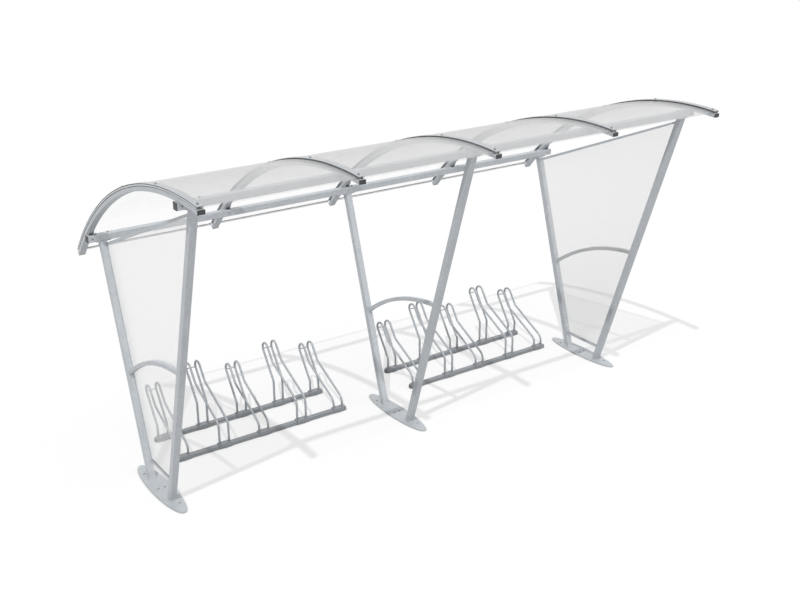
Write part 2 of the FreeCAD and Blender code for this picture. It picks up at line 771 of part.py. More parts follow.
# Folded saddles over the floor bars carry the holders' feet, each with one bolt through the bar.
saddle = body("rack_saddle")
fold = sketch(saddle, "saddle_section", "YZ_Plane")
gap = "(bar_width / 2 + saddle_play)"
low = "foot_height - saddle_depth"
polygon(fold, "p", [("-saddle_half", low), ("-" + gap, low), ("-" + gap, "bar_height"), (gap, "bar_height"),
                    (gap, low), ("saddle_half", low), ("saddle_half", "foot_height"),
                    ("-saddle_half", "foot_height")])
pad(saddle, "saddle_fold", fold, "saddle_length")
saddle_drill = sketch(saddle, "saddle_drill", "XZ_Plane")
circle(saddle_drill, "h", "0", "bar_height / 2", "bolt_hole")
pocket(saddle, "saddle_hole", saddle_drill, "bar_width * 2")
rack_head = hexagon("rack_head", "bolt_head", "bolt_head_height")
place(rack_head, "0", "0", "-bolt_head_height")
rack_shank = doc.addObject("Part::Cylinder", "rack_shank")
bind(rack_shank, "Radius", "bolt_dia / 2")
bind(rack_shank, "Height", "2 * saddle_half + nut_height + bolt_end")
place(rack_shank)
rack_bolt = doc.addObject("Part::Fuse", "rack_bolt")
rack_bolt.Base = rack_head
rack_bolt.Tool = rack_shank

RACKS = (("left", "rack_left_x"), ("right", "rack_right_x"))
cap_spots = []
saddles = []
fasteners = []
for side_name, centre in RACKS:
    for end, y in (("front", "rack_front_y"), ("rear", "rack_rear_y")):
        bar("rack_%s_bar_%s" % (side_name, end), centre, y)
        cap_spots.append((centre, "bar_length", y, "0"))
        for number in range(1, 6):
            spot = "%s + %d * rack_pitch" % (centre, number - 3)
            saddles.append((saddle, dict(x=spot, y=y)))
            for source, shift in ((rack_bolt, " - saddle_half"), (nut, " + saddle_half")):
                fasteners.append((source, dict(x=spot, y=y + shift, z="bar_height / 2", turn="-90")))
node(both_ends("rack_end_caps", bar_cap, cap_spots))
node(copies("rack_saddles", saddles))
node(copies("rack_bolts", fasteners))


# Wheel holder rod: one bar bent into a tall leaning loop, with both feet on the saddles.
def direction(angle):
    return Vector(math.cos(math.radians(angle)), math.sin(math.radians(angle)), 0)


def rod(label, raised):
    made = body(label)
    path = sketch(made, label + "_path", "YZ_Plane")
    rear, front = value("rack_rear_y"), value("rack_front_y")
    lift, loop = value(raised), value("loop_radius")
    up, arm, upright = direction(value("loop_lean_angle")), direction(value("arm_slope_angle")), direction(90)
    side = Vector(-up.y, up.x, 0)
    turn_rear = value("bend_rear * tan((90 - loop_lean_angle) / 2)")
    turn_kink = value("bend_kink * tan((loop_lean_angle - arm_slope_angle) / 2)")
    turn_front = value("bend_front * tan((90 - arm_slope_angle) / 2)")
    rear_corner = Vector(rear, value("rear_leg") + lift + turn_rear, 0)
    front_corner = Vector(front, value("front_leg") + lift + turn_front, 0)
    middle = rear_corner + side * loop
    top = middle + up * ((value("loop_height") + lift - middle.y) / up.y)
    start = rear_corner + side * (2 * loop)
    across = (start.x - front_corner.x) * arm.y - (start.y - front_corner.y) * arm.x
    kink_corner = start + up * (across / (up.y * arm.x - up.x * arm.y))
    spots = [Vector(rear, 0, 0), rear_corner - upright * turn_rear, rear_corner + up * turn_rear,
             top - side * loop, top + side * loop,
             kink_corner + up * turn_kink, kink_corner - arm * turn_kink,
             front_corner + arm * turn_front, front_corner - upright * turn_front, Vector(front, 0, 0)]
    bends = [(spots[1] + Vector(value("bend_rear"), 0, 0), "bend_rear", True),
             (top, "loop_radius", False),
             (spots[5] + side * value("bend_kink"), "bend_kink", True),
             (spots[8] + Vector(value("bend_front"), 0, 0), "bend_front", False)]
    lines = []
    arcs = []
    for i in range(5):
        lines.append(path.addGeometry(Part.LineSegment(spots[2 * i], spots[2 * i + 1]), False))
        if i < 4:
            centre, radius, clockwise = bends[i]
            ends = [spots[2 * i + 1], spots[2 * i + 2]]
            if clockwise:
                ends.reverse()
            ring = Part.Circle(centre, Vector(0, 0, 1), value(radius))
            first, last = ring.parameter(ends[0]), ring.parameter(ends[1])
            if last < first:
                last += 2 * math.pi
            arcs.append(path.addGeometry(Part.ArcOfCircle(ring, first, last), False))
    for i, (centre, radius, clockwise) in enumerate(bends):
        path.addConstraint(Sketcher.Constraint("Tangent", lines[i], 2, arcs[i], 2 if clockwise else 1))
        path.addConstraint(Sketcher.Constraint("Tangent", arcs[i], 1 if clockwise else 2, lines[i + 1], 1))
        hold(path, "Radius", (arcs[i],), "radius_%d" % i, radius)
    path.addConstraint(Sketcher.Constraint("Vertical", lines[0]))
    path.addConstraint(Sketcher.Constraint("Vertical", lines[4]))
    path.addConstraint(Sketcher.Constraint("Parallel", lines[1], lines[2]))
    pin_point(path, lines[0], 1, "rear_foot", "rack_rear_y", "0")
    pin_point(path, lines[4], 2, "front_foot", "rack_front_y", "0")
    hold(path, "DistanceY", (-1, 1, lines[0], 2), "rear_height", "rear_leg + " + raised)
    hold(path, "DistanceY", (-1, 1, lines[4], 1), "front_height", "front_leg + " + raised)
    hold(path, "DistanceY", (-1, 1, arcs[1], 3), "loop_top", "loop_height + " + raised)
    hold(path, "Angle", (lines[1],), "lean", "loop_lean_angle")
    hold(path, "Angle", (lines[3],), "slope", "180 + arm_slope_angle")
    section = sketch(made, label + "_section", "XY_Plane")
    circle(section, "c", "0", "rack_rear_y", "rod_dia")
    doc.recompute()
    sweep = made.newObject("PartDesign::AdditivePipe", label + "_sweep")
    sweep.Profile = section
    sweep.Spine = path
    made.Tip = sweep
    doc.recompute()
    return made


low_rod = rod("rod_low", "0")
high_rod = rod("rod_high", "high_step")
spacer = doc.addObject("Part::Cylinder", "spacer")
bind(spacer, "Radius", "spacer_dia / 2")
bind(spacer, "Height", "wheel_gap - rod_dia")
spacer.Placement = Placement(Vector(0, 0, 0), Rotation(Vector(0, 1, 0), 90))
# The loop's middle lies on the line midway between its two parallel legs.
LOOP_RISE = ("loop_height - rear_leg - bend_rear * tan((90 - loop_lean_angle) / 2)"
             " - loop_radius * cos(loop_lean_angle)")
LOOP_Y = "rack_rear_y - loop_radius * sin(loop_lean_angle) + (%s) / tan(loop_lean_angle)" % LOOP_RISE
KNEE_Y = "rack_front_y + bend_front * (1 - cos(knee_angle))"
KNEE_Z = "foot_height + front_leg + high_step + bend_front * sin(knee_angle)"


def holder(label, spot, source, raised):
    """Two rods on a pair of saddles; the high holders have a second spacer at the front knee."""
    links = []
    for letter, way in (("a", "-"), ("b", "+")):
        link = doc.addObject("App::Link", label + letter)
        link.LinkedObject = source
        place(link, "%s %s wheel_gap / 2" % (spot, way), "0", "foot_height")
        links.append(link)
    crossings = [(LOOP_Y + " + loop_radius * cos(spacer_angle)",
                  "foot_height + loop_height + %s - loop_radius * sin(spacer_angle)" % raised)]
    if raised != "0":
        crossings.append((KNEE_Y, KNEE_Z))
    for letter, (y, z) in zip("cd", crossings):
        link = doc.addObject("App::Link", label + letter)
        link.LinkedObject = spacer
        link.Placement = Placement(Vector(0, 0, 0), Rotation(Vector(0, 1, 0), 90))
        place(link, "%s - wheel_gap / 2 + rod_dia / 2" % spot, y, z)
        links.append(link)
    made = doc.addObject("Part::Compound", label)
    made.Label = label
    made.Links = links
    return node(made)


for side_name, centre in RACKS:
    for number in range(1, 6):
        source, raised = (low_rod, "0") if number % 2 else (high_rod, "high_step")
        spot = "%s + %d * rack_pitch" % (centre, number - 3)
        holder("rack_%s_holder_%d" % (side_name, number), spot, source, raised)

doc.recompute()
os.makedirs("parts", exist_ok=True)
problems = []
for item in doc.Objects:
    if "Invalid" in item.State or "Error" in item.State:
        problems.append("%s %s" % (item.Label, item.State))
for item in NODES:
    if item.Shape.isNull() or not item.Shape.isValid():
        problems.append("%s has no valid shape" % item.Label)
if problems:
    raise RuntimeError("; ".join(problems))
for item in NODES:
    item.Shape.exportStep("parts/%s.step" % item.Label)
    print(item.Label, len(item.Shape.Solids), "solids", round(item.Shape.Volume), "mm3")
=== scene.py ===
# %% [markdown]
# # Looks of an open bicycle shelter
# The shelter is a galvanised steel frame with a clear curved roof, two clear side panels and two floor racks.
# The CAD frame already has every tube, plate, bolt and sheet at its true size.
# This lesson gives each of them the finish of its real material, adds the weld beads that hold the steel
# together, and sets the floor, the light and the camera.

# %% Open the CAD frame
import json
import math
import bpy
from mathutils import Matrix, Vector


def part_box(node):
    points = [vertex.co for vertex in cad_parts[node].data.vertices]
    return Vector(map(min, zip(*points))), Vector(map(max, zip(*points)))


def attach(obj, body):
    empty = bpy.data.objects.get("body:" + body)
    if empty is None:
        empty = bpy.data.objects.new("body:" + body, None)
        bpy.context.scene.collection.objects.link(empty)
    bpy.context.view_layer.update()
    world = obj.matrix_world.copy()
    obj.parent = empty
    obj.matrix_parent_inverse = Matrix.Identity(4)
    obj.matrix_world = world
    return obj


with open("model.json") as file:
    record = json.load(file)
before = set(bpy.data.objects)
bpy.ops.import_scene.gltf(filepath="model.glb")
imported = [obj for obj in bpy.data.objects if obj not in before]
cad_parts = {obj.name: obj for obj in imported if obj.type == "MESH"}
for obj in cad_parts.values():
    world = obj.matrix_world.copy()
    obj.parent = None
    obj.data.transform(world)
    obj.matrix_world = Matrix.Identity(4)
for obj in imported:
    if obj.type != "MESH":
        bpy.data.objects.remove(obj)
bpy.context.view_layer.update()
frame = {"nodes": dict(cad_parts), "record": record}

bpy.context.scene.view_settings.view_transform = "Standard"

# %% [markdown]
# ## Helpers for nodes
# A finish is a shader with a few texture nodes before it.
# Every texture reads Object coordinates, which are metres here, so a scale of 90 means about 90 spots in
# a metre, and no piece has to be unfolded first.
# The first helper adds a node, sets its options, and links a socket wherever it is given one in place of
# a number. The others are short names for the nodes that come up again and again.

# %% Node helpers
def put(tree, kind, sockets=None, **options):
    """Add a node, set its options and its inputs, and return it."""
    node = tree.nodes.new(kind)
    for key, setting in options.items():
        setattr(node, key, setting)
    for key, setting in (sockets or {}).items():
        if isinstance(setting, bpy.types.NodeSocket):
            tree.links.new(setting, node.inputs[key])
        else:
            node.inputs[key].default_value = setting
    return node


def reckon(tree, operation, *values):
    """Result of a Math node on numbers or sockets."""
    return put(tree, "ShaderNodeMath", dict(enumerate(values)), operation=operation).outputs[0]


def ramp(tree, value, start, end, low=0.0, high=1.0):
    """From low, where value is at start, to high, where it is at end, and level beyond both."""
    sockets = {"Value": value, "From Min": start, "From Max": end, "To Min": low, "To Max": high}
    return put(tree, "ShaderNodeMapRange", sockets).outputs["Result"]


def spread(tree, factor, low, high):
    """A factor from 0 to 1 moved to the range from low to high."""
    return ramp(tree, factor, 0.0, 1.0, low, high)


def noise(tree, spot, scale, detail, roughness=0.5):
    """Soft noise from 0 to 1."""
    sockets = {"Vector": spot, "Scale": scale, "Detail": detail, "Roughness": roughness}
    return put(tree, "ShaderNodeTexNoise", sockets).outputs["Fac"]


def part_of(tree, vector, axis):
    """The X, Y or Z part of a vector socket."""
    return put(tree, "ShaderNodeSeparateXYZ", {"Vector": vector}).outputs[axis]


def weigh(tree, first, second, share):
    """Weighted mean of two factor sockets; share is the second one's weight."""
    return put(tree, "ShaderNodeMix", {0: share, 2: first, 3: second}).outputs[0]


def tint(tree, share, first, second):
    """Mix of two colours; share is the second one's weight."""
    return put(tree, "ShaderNodeMix", {0: share, 6: first, 7: second}, data_type="RGBA").outputs[2]


def between(tree, factor, low, high):
    """Colour that goes from low to high over the middle half of a factor."""
    stops = put(tree, "ShaderNodeValToRGB", {"Fac": factor})
    first, last = stops.color_ramp.elements
    first.position = 0.25
    last.position = 0.75
    first.color = (*low, 1.0)
    last.color = (*high, 1.0)
    return stops.outputs["Color"]


print("node helpers ready")

# %% [markdown]
# ## Helpers for finishes
# Most finishes are one Principled shader, whose colour, roughness and relief come from textures.
# The clear panels and the floor are put together from other shaders, so they start from an empty node tree.
# Every finish is kept under its name, because the CAD record gives each node a slot of that name.

# %% Finish helpers
FINISHES = {}


def finish(name, base, metallic, roughness):
    """New material with plain settings; returns its node tree and its Principled shader."""
    made = bpy.data.materials.new(name)
    made.use_nodes = True
    FINISHES[name] = made
    shader = made.node_tree.nodes["Principled BSDF"]
    shader.inputs["Base Color"].default_value = (*base, 1.0)
    shader.inputs["Metallic"].default_value = metallic
    shader.inputs["Roughness"].default_value = roughness
    return made.node_tree, shader


def blank(name):
    """New material with an empty node tree; returns the tree."""
    made = bpy.data.materials.new(name)
    made.use_nodes = True
    FINISHES[name] = made
    made.node_tree.nodes.clear()
    return made.node_tree


def coat(tree, shader, colour, roughness):
    """Link a colour and a roughness socket to a Principled shader."""
    tree.links.new(colour, shader.inputs["Base Color"])
    tree.links.new(roughness, shader.inputs["Roughness"])


def dent(tree, shader, height, strength, depth):
    """Fine relief on a Principled shader; depth is in metres."""
    bump = put(tree, "ShaderNodeBump", {"Height": height, "Strength": strength, "Distance": depth})
    tree.links.new(bump.outputs["Normal"], shader.inputs["Normal"])


print("finish helpers ready")

# %% [markdown]
# ## Hot-dip galvanised steel
# The frame was dipped in molten zinc after welding.
# The zinc freezes into flat crystals, called spangle, 5 to 15 mm wide, each a slightly different grey.
# Over the years the sheen turns cloudy, so larger soft patches and upright streaks lie over the crystals.
# A photograph of spangle could be wrapped round each tube, but it would repeat and show its seams.
# So a Voronoi texture gives each crystal its own grey, and soft noise gives the clouds and the streaks.
# The lowest 10 cm, and the rack bars most of all, are darker: painted shade near the paving, with splashed
# dirt.
# Holes and inner corners are painted darker as well, as painted shade.
# An Ambient Occlusion node, kept to the piece itself, finds them.
# The same recipe, with darker colours, serves the racks and the folded brackets.

# %% Painted shade and dirt on steel
SHADE_AND_DIRT = (0.14, 0.15, 0.16, 1.0)
FOOT_DARKENING_FADES = 0.04
FOOT_DARKENING_ENDS = 0.10
NOOK_REACH = 0.03
NOOK_DEEP = 0.25
NOOK_OPEN = 0.85
NOOK_SHADE = 0.9


def shade_and_dirt_share(tree, spot, foot_darkening):
    """Share of painted shade near the floor, with splashed dirt there, and of painted shade in nooks."""
    # Painted shade near the floor, with splashed dirt: darker towards the foot.
    low = ramp(tree, part_of(tree, spot, "Z"), FOOT_DARKENING_FADES, FOOT_DARKENING_ENDS, foot_darkening, 0.0)
    # Painted shade in holes and inner corners, found by Ambient Occlusion.
    open_share = put(tree, "ShaderNodeAmbientOcclusion", {"Distance": NOOK_REACH}, samples=8, only_local=True)
    nook = ramp(tree, open_share.outputs["AO"], NOOK_DEEP, NOOK_OPEN, NOOK_SHADE, 0.0)
    return reckon(tree, "MAXIMUM", low, nook)


print("dirt reaches up to", FOOT_DARKENING_ENDS, "m")

# %% Galvanised finishes
CRYSTAL_SHARE = 0.3
STREAK_SHARE = 0.35
STREAK_SCALE = (30.0, 30.0, 1.5)
CRYSTAL_BEND = 0.012
BENDS_PER_CRYSTAL = 1.6


def galvanised(name, dark, pale, metallic, crystals, foot_darkening):
    """Zinc coat; crystals is their number in a metre, the last argument the share of painted shade and dirt
    at the foot.
    """
    tree, shader = finish(name, pale, metallic, roughness=0.45)
    spot = put(tree, "ShaderNodeTexCoord").outputs["Object"]
    bends = {"Vector": spot, "Scale": crystals * BENDS_PER_CRYSTAL, "Detail": 2.0}
    wobble = put(tree, "ShaderNodeTexNoise", bends).outputs["Color"]
    bent = put(tree, "ShaderNodeMix", {0: CRYSTAL_BEND, 4: spot, 5: wobble}, data_type="VECTOR").outputs[1]
    crystal = put(tree, "ShaderNodeTexVoronoi", {"Vector": bent, "Scale": crystals}).outputs
    grey = put(tree, "ShaderNodeSeparateColor", {"Color": crystal["Color"]}).outputs["Red"]
    cloud = noise(tree, spot, scale=6.0, detail=5.0, roughness=0.55)
    tall = put(tree, "ShaderNodeMapping", {"Vector": spot, "Scale": STREAK_SCALE}).outputs["Vector"]
    worn = weigh(tree, cloud, noise(tree, tall, scale=1.0, detail=3.0), STREAK_SHARE)
    clean = between(tree, weigh(tree, worn, grey, CRYSTAL_SHARE), dark, pale)
    # Painted shade, with dirt at the foot, darkens the clean colour.
    darkened = tint(tree, shade_and_dirt_share(tree, spot, foot_darkening), clean, SHADE_AND_DIRT)
    coat(tree, shader, darkened, spread(tree, grey, 0.36, 0.52))
    dent(tree, shader, crystal["Distance"], strength=0.06, depth=0.0006)


galvanised("galvanised", (0.47, 0.50, 0.53), (0.60, 0.63, 0.66),
           metallic=0.2, crystals=95.0, foot_darkening=0.12)
galvanised("rack_steel", (0.335, 0.36, 0.385), (0.47, 0.495, 0.52),
           metallic=0.25, crystals=140.0, foot_darkening=0.45)
galvanised("bracket_steel", (0.36, 0.38, 0.41), (0.48, 0.50, 0.53),
           metallic=0.25, crystals=120.0, foot_darkening=0.0)
print("galvanised finishes:", sorted(FINISHES))

# %% [markdown]
# ## Mill aluminium
# The cover strips and edge trims are extruded aluminium, with fine draw lines along their length.
# The lines could be drawn along each strip's own curve; a noise, squeezed across X, gives them more simply.
# The strips bend in the YZ plane, so such lines stay along each strip all the way round.
# The trims run along X, and there the same lines show as faint cross shading, too fine to see.
# Towards the rear edge the metal is painted pale: painted light on the trims, which lie in shade there.
# The Y coordinate says where.

# %% Strip finish
DRAWN_SCALE = (900.0, 6.0, 6.0)
PAINTED_LIGHT_METAL = (0.80, 0.81, 0.82, 1.0)
PAINTED_LIGHT_STARTS = 0.88
PAINTED_LIGHT_FULL = 0.96

tree, shader = finish("strip_metal", (0.56, 0.58, 0.60), metallic=0.55, roughness=0.35)
spot = put(tree, "ShaderNodeTexCoord").outputs["Object"]
drawn = put(tree, "ShaderNodeMapping", {"Vector": spot, "Scale": DRAWN_SCALE}).outputs["Vector"]
line = noise(tree, drawn, scale=1.0, detail=3.0)
stain = noise(tree, spot, scale=9.0, detail=4.0)
bare = between(tree, weigh(tree, line, stain, share=0.5), (0.43, 0.45, 0.47), (0.56, 0.58, 0.60))
# Painted light: the pale metal towards the rear edge lifts the trims there out of their shade.
painted_light = ramp(tree, part_of(tree, spot, "Y"), PAINTED_LIGHT_STARTS, PAINTED_LIGHT_FULL)
coat(tree, shader, tint(tree, painted_light, bare, PAINTED_LIGHT_METAL), spread(tree, line, 0.28, 0.44))
dent(tree, shader, line, strength=0.05, depth=0.0003)
print("strip finish:", len(tree.nodes), "nodes")

# %% [markdown]
# ## Zinc-plated bolts
# The bolts have a thin zinc plate with tiny scratches, shinier and darker than the frame's thick coat.
# Single scratches could be drawn, but on a bolt head of 13 mm a fine noise in colour and roughness is enough.

# %% Bolt finish
tree, shader = finish("zinc_bolt", (0.36, 0.38, 0.40), metallic=0.7, roughness=0.32)
spot = put(tree, "ShaderNodeTexCoord").outputs["Object"]
scratch = noise(tree, spot, scale=700.0, detail=4.0)
plate = between(tree, scratch, (0.28, 0.30, 0.32), (0.42, 0.44, 0.46))
coat(tree, shader, plate, spread(tree, scratch, 0.25, 0.45))
print("bolt finish:", len(tree.nodes), "nodes")

# %% [markdown]
# ## Moulded plugs, rack caps and rubber
# The plugs and caps are moulded plastic with a fine spark-eroded grain, about one grain in a millimetre.
# The gaskets are extruded black rubber, duller and with a coarser grain.
# All use the same recipe: a dark colour, a slow noise for dust, and a fine noise for the grain.
# The grain is too small to be worth modelling, so a bump stands in for it.

# %% Plastic finishes
GRAIN_SPREAD = 0.08


def dull(name, dark, dusty, roughness, grain, depth):
    """Grained plastic or rubber; returns the tree, the shader and the sockets of place and colour."""
    tree, shader = finish(name, dark, 0.0, roughness)
    place = put(tree, "ShaderNodeTexCoord").outputs
    dust = noise(tree, place["Object"], scale=25.0, detail=4.0)
    speck = noise(tree, place["Object"], scale=grain, detail=2.0)
    plain = between(tree, dust, dark, dusty)
    coat(tree, shader, plain, spread(tree, speck, roughness - GRAIN_SPREAD, roughness + GRAIN_SPREAD))
    dent(tree, shader, speck, strength=0.15, depth=depth)
    return tree, shader, place, plain


dull("black_plug", (0.035, 0.036, 0.038), (0.065, 0.066, 0.068), roughness=0.5, grain=1100.0, depth=0.0002)
dull("rack_cap", (0.10, 0.105, 0.11), (0.15, 0.155, 0.16), roughness=0.55, grain=1100.0, depth=0.0002)
print("finishes so far:", sorted(FINISHES))

# %% [markdown]
# ## Chalky gaskets
# Water stands on the gaskets towards the rear, and leaves a chalky bloom on the black rubber.
# It could be painted on by hand; the Y coordinate gives the same, from the middle of the frames, where it
# sets in, to half a metre behind it, where it is full.
# The cut ends of the gaskets, and the faces against sheet and rib, have normals without an X part.
# They show the pale filler of the rubber, so the same chalk goes on there.

# %% Gasket finish
CHALK = (0.42, 0.43, 0.44, 1.0)
BLOOM = 0.95
BLOOM_STARTS = 0.0
BLOOM_FULL = 0.5
LENGTHWAYS = 0.4
SIDEWAYS = 0.6

tree, shader, place, plain = dull("gasket_rubber", (0.02, 0.02, 0.021), (0.045, 0.045, 0.046),
                                  roughness=0.7, grain=500.0, depth=0.0003)
chalky = ramp(tree, part_of(tree, place["Object"], "Y"), BLOOM_STARTS, BLOOM_FULL, 0.0, BLOOM)
across = reckon(tree, "ABSOLUTE", part_of(tree, place["Normal"], "X"))
cut = ramp(tree, across, LENGTHWAYS, SIDEWAYS, BLOOM, 0.0)
worn = tint(tree, reckon(tree, "MAXIMUM", chalky, cut), plain, CHALK)
tree.links.new(worn, shader.inputs["Base Color"])
print("gasket finish:", len(tree.nodes), "nodes")

# %% [markdown]
# ## Clear sheets
# The roof is clear polycarbonate, 10 mm thick, and the side panels are the same sheet at 6 mm.
# Seen square on, such a sheet is nearly invisible; at a flat angle it mirrors its surroundings like a window.
# Real glass shading would bend light and make noisy bright spots under the roof, so the sheet is put
# together as architects do: a Transparent shader with a faint tint, and a Glossy one that takes over as the
# angle gets flat.
# The share of the mirror follows Schlick's rule, a haze + a reach x facing to the fifth power, in two Math
# nodes.
# A slow wave, as extrusion leaves it, bends the reflections, and fine dust varies the tint and the gloss.

# %% Clear sheet helpers
SCHLICK_POWER = 5.0
DUST_SPREAD = 0.12


def mirror_share(tree, haze, reach, power):
    """Share of the mirror: haze square on, and haze + reach at the flattest angle."""
    facing = put(tree, "ShaderNodeLayerWeight", {"Blend": 0.5}).outputs["Facing"]
    return reckon(tree, "MULTIPLY_ADD", reckon(tree, "POWER", facing, power), reach, haze)


def clear_sheet(tree, clean, dusty, sheen, scuff, mirror):
    """Clear film with a gloss; sheen is the gloss's colour, scuff its least roughness, mirror its share."""
    spot = put(tree, "ShaderNodeTexCoord").outputs["Object"]
    dust = noise(tree, spot, scale=14.0, detail=8.0, roughness=0.65)
    wave = noise(tree, spot, scale=3.0, detail=1.0)
    bump = put(tree, "ShaderNodeBump", {"Height": wave, "Strength": 0.05, "Distance": 0.004})
    film = put(tree, "ShaderNodeBsdfTransparent", {"Color": between(tree, dust, dusty, clean)})
    gloss = put(tree, "ShaderNodeBsdfGlossy", {
        "Color": sheen,
        "Roughness": spread(tree, dust, scuff, scuff + DUST_SPREAD),
        "Normal": bump.outputs["Normal"],
    })
    return put(tree, "ShaderNodeMixShader", {0: mirror, 1: film.outputs[0], 2: gloss.outputs[0]}).outputs[0]


print("clear sheet helpers ready")

# %% [markdown]
# ## Roof sheets
# The roof's upper side has a grey gloss, a painted darker reflection, of nearly full reach that sets in
# sooner, with the third power. Its underside is clean and mirrors little.
# They could be given two materials, but a normal always points to the viewer's side, so its Z part tells
# them apart in one.
# The sawn edges, found by the normal's X part, pipe the light out and look pale and solid.

# %% Roof finish
WHITE = (1.0, 1.0, 1.0, 1.0)
PAINTED_REFLECTION_GREY = (0.70, 0.70, 0.70, 1.0)
UPPER_POWER = 3.0
UPPER_REACH = 0.95
UNDERSIDE_REACH = 0.12
UPWARD = 0.3
SAWN = 0.7

tree, shader = finish("roof_sheet", (0.66, 0.69, 0.70), metallic=0.0, roughness=0.3)
normal = put(tree, "ShaderNodeTexCoord").outputs["Normal"]
above = reckon(tree, "GREATER_THAN", part_of(tree, normal, "Z"), UPWARD)
reach = spread(tree, above, UNDERSIDE_REACH, UPPER_REACH)
power = spread(tree, above, SCHLICK_POWER, UPPER_POWER)
# Painted reflection: the upper side's gloss is painted grey, darker than what it mirrors.
sheet = clear_sheet(tree, clean=(0.99, 0.99, 0.99), dusty=(0.975, 0.975, 0.975),
                    sheen=tint(tree, above, WHITE, PAINTED_REFLECTION_GREY), scuff=0.04,
                    mirror=mirror_share(tree, haze=0.025, reach=reach, power=power))
across = reckon(tree, "ABSOLUTE", part_of(tree, normal, "X"))
sawn = reckon(tree, "GREATER_THAN", across, SAWN)
whole = put(tree, "ShaderNodeMixShader", {0: sawn, 1: sheet, 2: shader.outputs[0]})
tree.links.new(whole.outputs[0], tree.nodes["Material Output"].inputs["Surface"])
print("roof finish:", len(tree.nodes), "nodes")

# %% [markdown]
# ## Side panels
# The side panels are brushed against by bicycles; fine scuffs give them a white haze, a rough gloss at
# every angle.
# Both of their sides have the same wear, so they need no more than the clear sheet itself.

# %% Panel finish
tree = blank("side_panel")
sheet = clear_sheet(tree, clean=(0.945, 0.945, 0.945), dusty=(0.925, 0.925, 0.925),
                    sheen=WHITE, scuff=0.3,
                    mirror=mirror_share(tree, haze=0.18, reach=0.1, power=SCHLICK_POWER))
put(tree, "ShaderNodeOutputMaterial", {"Surface": sheet})
print("panel finish:", len(tree.nodes), "nodes")

# %% [markdown]
# ## Dress the CAD nodes
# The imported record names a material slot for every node, so the finishes go on by that name.

# %% Give every node its finish
dressed = {}
for part in frame["record"]["subparts"]:
    piece = frame["nodes"][part["node"]]
    look = FINISHES[part["material_slot"]]
    if not piece.material_slots:
        piece.data.materials.append(look)
    for place in piece.material_slots:
        place.material = look
    dressed[part["material_slot"]] = dressed.get(part["material_slot"], 0) + 1
print("dressed:", dressed)

# %% [markdown]
# ## Weld beads round square tubes
# Each post is welded all round to its base plate and its head plate, and each tie tube to both posts.
# A bead is a rope of metal, about 6 mm wide, laid in small overlapping ripples.
# It could be swept along a drawn line; here a plane of the tube's outline is rounded at the corners,
# trimmed to its edge, turned into a curve with a round section, and then rippled with a displacement,
# because the outline then needs only two sizes.

# %% Weld helpers
RIPPLE = bpy.data.textures.new("weld_ripple", "CLOUDS")
RIPPLE.noise_scale = 0.005


def ripple(piece, height):
    """Lay ripples on the active piece."""
    wave = piece.modifiers.new("ripple", "DISPLACE")
    wave.texture = RIPPLE
    wave.texture_coords = "LOCAL"
    wave.strength = height
    bpy.ops.object.modifier_apply(modifier="ripple")
    bpy.ops.object.shade_smooth()


def joined(pieces, name, slot):
    """One object of several weld pieces, with the finish of their steel."""
    bpy.ops.object.select_all(action="DESELECT")
    for piece in pieces:
        piece.select_set(True)
    bpy.context.view_layer.objects.active = pieces[0]
    bpy.ops.object.join()
    welds = bpy.context.object
    welds.name = name
    welds.data.materials.clear()
    welds.data.materials.append(FINISHES[slot])
    return welds


print("ripples of", RIPPLE.noise_scale, "m")

# %% Bead along a tube's outline
CORNER = 0.004
CORNER_STEPS = 3
EDGE_CUTS = 11
RIPPLE_SHARE = 0.5


def bead(half_x, half_y, place, radius):
    """Bead round a rectangle that lies in the XY plane of the matrix place."""
    bpy.ops.object.select_all(action="DESELECT")
    bpy.ops.mesh.primitive_plane_add(size=2.0)
    bpy.ops.object.mode_set(mode="EDIT")
    bpy.ops.mesh.select_all(action="SELECT")
    bpy.ops.transform.resize(value=(half_x, half_y, 1.0))
    bpy.ops.mesh.bevel(offset=CORNER, segments=CORNER_STEPS, affect="VERTICES")
    bpy.ops.mesh.select_all(action="SELECT")
    bpy.ops.mesh.delete(type="ONLY_FACE")
    bpy.ops.mesh.select_all(action="SELECT")
    bpy.ops.mesh.subdivide(number_cuts=EDGE_CUTS)
    bpy.ops.object.mode_set(mode="OBJECT")
    bpy.ops.object.convert(target="CURVE")
    outline = bpy.context.object.data
    outline.dimensions = "3D"
    outline.bevel_depth = radius
    outline.bevel_resolution = 2
    bpy.ops.object.convert(target="MESH")
    made = bpy.context.object
    made.matrix_world = place
    bpy.ops.object.transform_apply(location=True, rotation=True, scale=True)
    ripple(made, radius * RIPPLE_SHARE)
    return made


print("bead corners of", CORNER, "m")

# %% [markdown]
# ## Seams of the three frames
# A post's seam is a level rectangle at its foot and at its head.
# A tie's seam lies on the sloping inner face of a post, where the arch of the tie runs into it.
# The meeting point is where the arch's circle crosses the line of that face.
# The places come from the CAD boxes, the lean of the posts and the circle of the ties.
# All seams of one frame are joined into one piece.

# %% Seam between a tie and a post
LEAN = math.radians(17.25)
HALF_TUBE = 0.025
HALF_CUT = HALF_TUBE / math.cos(LEAN)
HALF_TIE = 0.015
TIE_CENTRE = Vector((0.0, -0.609, -0.481))
TIE_RADIUS = 1.622
ALONG_X = Vector((1.0, 0.0, 0.0))


def tie_seam(way, toe):
    """Middle, way up, way inward and half length of the seam on the front (-1) or rear (1) post's inner face.

    The toe is that face's lowest point.
    """
    up = Vector((0.0, way * math.sin(LEAN), math.cos(LEAN)))
    inward = Vector((0.0, -way * math.cos(LEAN), math.sin(LEAN)))
    start = toe - TIE_CENTRE
    climb = start.dot(up)
    reach = -climb + math.sqrt(climb ** 2 - start.length_squared + TIE_RADIUS ** 2)
    point = start + up * reach
    tangent = Vector((0.0, -point.z, point.y)).normalized()
    return point + TIE_CENTRE, up, inward, HALF_TIE / abs(tangent.dot(inward))


print("half length of a cut post:", round(HALF_CUT, 5))

# %% Weld the frames
BEAD = 0.0032
TIE_BEAD = BEAD * 0.75
SEAM_LIFT = 0.0005

